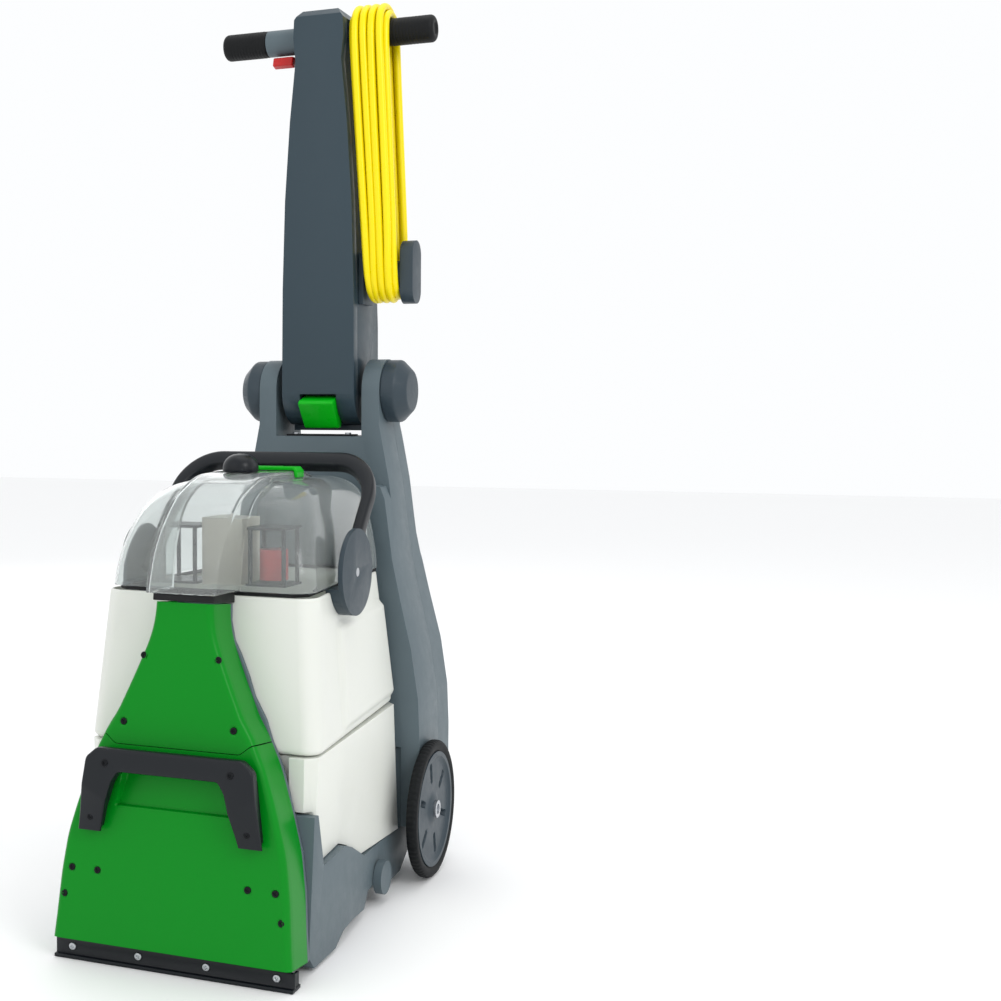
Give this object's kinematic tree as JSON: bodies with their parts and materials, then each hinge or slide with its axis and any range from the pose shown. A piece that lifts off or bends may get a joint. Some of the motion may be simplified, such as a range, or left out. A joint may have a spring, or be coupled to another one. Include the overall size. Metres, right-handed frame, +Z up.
{
  "type": "carpet cleaner machine",
  "caption": "Upright carpet washing machine with a folding handle, lift-out tank, clear lid and a leaning green suction nozzle.",
  "frame": {"origin": "on the floor, in the middle plane, halfway between the front of the carry handle and the back of the frame", "axes": "+Z up; -Y towards the nozzle, the way the machine is pushed; +X to the left hand of the person who pushes it"},
  "size_m": [0.3286, 0.5518, 1.107],
  "materials": {
    "base_grey": "fine moulded grain",
    "shell_green": "polished injection moulding",
    "accent_green": "bright gloss moulding",
    "tank_white": "translucent satin moulding",
    "lid_clear": "clear polycarbonate",
    "column_slate": "satin moulding",
    "black_plastic": "satin moulding",
    "hub_plastic": "fine moulded grain",
    "tyre_rubber": "ribbed rubber",
    "black_rubber": "soft moulded rubber",
    "cord_yellow": "smooth cord jacket",
    "trigger_red": "gloss moulding",
    "steel": "bright zinc plate",
    "dark_screw": "black oxide",
    "motor_metal": "cast and rolled housing",
    "nylon_bristle": "nylon tufts",
    "frosted_plastic": "frosted moulding",
    "brass": "bright stamped blades"
  },
  "bodies": {
    "base": {"base_tray": "base_grey", "bottom_cover": "black_plastic", "base_screws": "steel", "brush_motor": "motor_metal", "drive_belt": "black_rubber", "water_pump": "black_plastic", "push_nuts": "steel", "axles": "steel", "cover_lower": "shell_green", "cover_upper": "shell_green", "duct_back": "base_grey", "duct_top_seal": "black_rubber", "nozzle_lip": "black_plastic", "lip_screws": "steel", "cover_screws": "dark_screw", "front_handle": "black_plastic", "frame_front": "base_grey", "frame_back": "base_grey", "fold_bosses": "black_plastic", "fold_pin": "steel", "catch_plate": "steel", "vacuum_motor": "motor_metal"},
    "brush": {"brush_roll": "black_plastic", "brush_bristles": "nylon_bristle"},
    "motor_pulley": {"motor_pulley": "steel"},
    "wheel_left": {"wheel_hub_left": "hub_plastic", "tyre_left": "tyre_rubber"},
    "wheel_right": {"wheel_hub_right": "hub_plastic", "tyre_right": "tyre_rubber"},
    "roller_left": {"roller_left": "base_grey"},
    "roller_right": {"roller_right": "base_grey"},
    "fan": {"vacuum_fan": "black_plastic"},
    "handle": {"column_front": "column_slate", "column_rear": "column_slate", "handlebar": "steel", "grips": "black_rubber", "collars": "base_grey", "latch_linkage": "steel", "cord_hook": "black_plastic", "cord_hank": "cord_yellow", "cord_strain_relief": "black_rubber", "cord_lead": "cord_yellow", "power_plug": "black_rubber", "plug_prongs": "brass"},
    "trigger": {"trigger": "trigger_red"},
    "power_switch": {"power_switch": "trigger_red"},
    "release_latch": {"release_latch": "accent_green"},
    "tank": {"tank_lower": "tank_white", "tank_upper": "tank_white", "lid_gasket": "black_rubber", "lid": "lid_clear", "float_cages": "black_plastic", "baffle_box": "frosted_plastic", "bail_covers": "base_grey", "bail_pins": "steel"},
    "tank_valve": {"tank_valve": "black_plastic"},
    "bail": {"bail": "black_plastic"},
    "lid_latch": {"lid_latch": "accent_green"},
    "port_cap": {"port_cap": "black_plastic"},
    "float": {"float": "trigger_red"}
  },
  "joints": [
    {"name": "handle_fold", "type": "hinge", "parent": "base", "child": "handle", "pos_m": [0, 0.20785, 0.616], "axis": [1, 0, 0], "range_deg": [0, 86]},
    {"name": "wheel_left_spin", "type": "hinge", "parent": "base", "child": "wheel_left", "pos_m": [0.155, 0.16585, 0.0865], "axis": [1, 0, 0], "continuous": true},
    {"name": "wheel_right_spin", "type": "hinge", "parent": "base", "child": "wheel_right", "pos_m": [-0.155, 0.16585, 0.0865], "axis": [1, 0, 0], "continuous": true},
    {"name": "roller_left_spin", "type": "hinge", "parent": "base", "child": "roller_left", "pos_m": [0.132, 0.04185, 0.031], "axis": [1, 0, 0], "continuous": true},
    {"name": "roller_right_spin", "type": "hinge", "parent": "base", "child": "roller_right", "pos_m": [-0.132, 0.04185, 0.031], "axis": [1, 0, 0], "continuous": true},
    {"name": "brush_spin", "type": "hinge", "parent": "base", "child": "brush", "pos_m": [0, -0.17215, 0.0335], "axis": [1, 0, 0], "continuous": true},
    {"name": "motor_pulley_spin", "type": "hinge", "parent": "base", "child": "motor_pulley", "pos_m": [-0.122, -0.08615, 0.062], "axis": [1, 0, 0], "continuous": true},
    {"name": "fan_spin", "type": "hinge", "parent": "base", "child": "fan", "pos_m": [0, 0.21585, 0.3], "axis": [0, 0, 1], "continuous": true},
    {"name": "trigger_pull", "type": "hinge", "parent": "handle", "child": "trigger", "pos_m": [-0.058, 0.21385, 1.046], "axis": [-1, 0, 0], "range_deg": [0, 8], "stiffness_Nm_per_rad": 0.4},
    {"name": "power_rock", "type": "hinge", "parent": "handle", "child": "power_switch", "pos_m": [0, 0.24785, 0.892], "axis": [1, 0, 0], "range_deg": [0, 6]},
    {"name": "latch_release", "type": "hinge", "parent": "handle", "child": "release_latch", "pos_m": [0, 0.18185, 0.608], "axis": [1, 0, 0], "range_deg": [0, 7], "stiffness_Nm_per_rad": 1.2},
    {"name": "tank_lift", "type": "slide", "parent": "base", "child": "tank", "axis": [0, 0, -1], "range_m": [-0.22, 0]},
    {"name": "tank_valve_lift", "type": "slide", "parent": "tank", "child": "tank_valve", "axis": [0, 0, 1], "range_m": [0, 0.005], "stiffness_N_per_m": 150},
    {"name": "bail_swing", "type": "hinge", "parent": "tank", "child": "bail", "pos_m": [0, -0.06415, 0.411], "axis": [1, 0, 0], "range_deg": [0, 41.7]},
    {"name": "lid_latch_open", "type": "hinge", "parent": "tank", "child": "lid_latch", "pos_m": [0, 0.00085, 0.5235], "axis": [-1, 0, 0], "range_deg": [0, 40]},
    {"name": "port_cap_lift", "type": "slide", "parent": "tank", "child": "port_cap", "axis": [0, 0, -1], "range_m": [-0.02, 0]},
    {"name": "float_rise", "type": "slide", "parent": "tank", "child": "float", "axis": [0, 0, 1], "range_m": [0, 0.02]}
  ],
  "couplings": [
    {"joint": "motor_pulley_spin", "follows": "brush_spin", "ratio": 2.2222}
  ]
}
